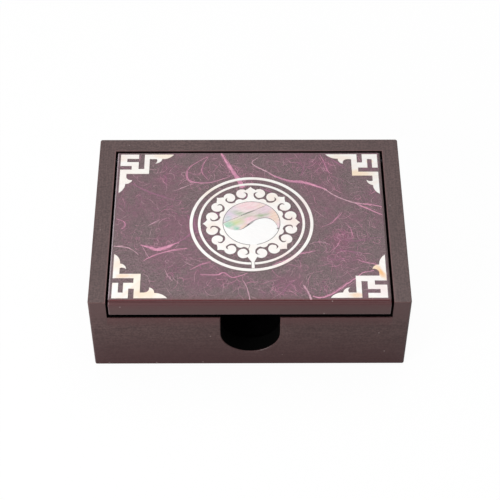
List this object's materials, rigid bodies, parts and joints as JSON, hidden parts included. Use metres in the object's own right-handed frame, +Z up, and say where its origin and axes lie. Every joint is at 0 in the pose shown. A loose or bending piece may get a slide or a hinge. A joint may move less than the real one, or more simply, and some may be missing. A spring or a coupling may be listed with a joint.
{
  "type": "business card holder",
  "caption": "Lacquered wooden card box with a hinged inset lid, a thumb notch in the front wall, and shell inlay with a round scroll medallion and corner frets on fibre paper.",
  "frame": {"origin": "middle of the flat underside", "axes": "+X right as seen from the front, +Y from the front with the thumb notch to the back, +Z up"},
  "size_m": [0.11, 0.0768, 0.0359],
  "materials": {
    "lacquered_wood": "satin",
    "black_lacquer": "satin",
    "felt": "matte",
    "fibre_paper": "satin",
    "pale_shell": "gloss",
    "coloured_shell": "gloss",
    "steel": "satin"
  },
  "bodies": {
    "box": {"base_panel": "black_lacquer", "base_felt": "felt", "left_wall": "lacquered_wood", "right_wall": "lacquered_wood", "back_wall": "lacquered_wood", "front_wall": "lacquered_wood", "left_liner": "black_lacquer", "right_liner": "black_lacquer", "back_liner": "black_lacquer", "floor_felt": "felt", "hinge_pin_left": "steel", "hinge_pin_right": "steel"},
    "lid": {"lid_board": "lacquered_wood", "lid_paper": "fibre_paper", "outer_ring": "pale_shell", "inner_ring": "pale_shell", "scroll_wreath": "pale_shell", "taegeuk_pale_half": "pale_shell", "taegeuk_upper_strip": "coloured_shell", "taegeuk_lower_strip": "coloured_shell", "fret_back_left": "pale_shell", "fret_back_right": "pale_shell", "fret_front_left": "pale_shell", "fret_front_right": "pale_shell"}
  },
  "joints": [
    {"name": "lid_hinge", "type": "hinge", "parent": "box", "child": "lid", "pos_m": [0, 0.02865, 0.0339], "axis": [-1, 0, 0], "range_deg": [0, 120]}
  ]
}
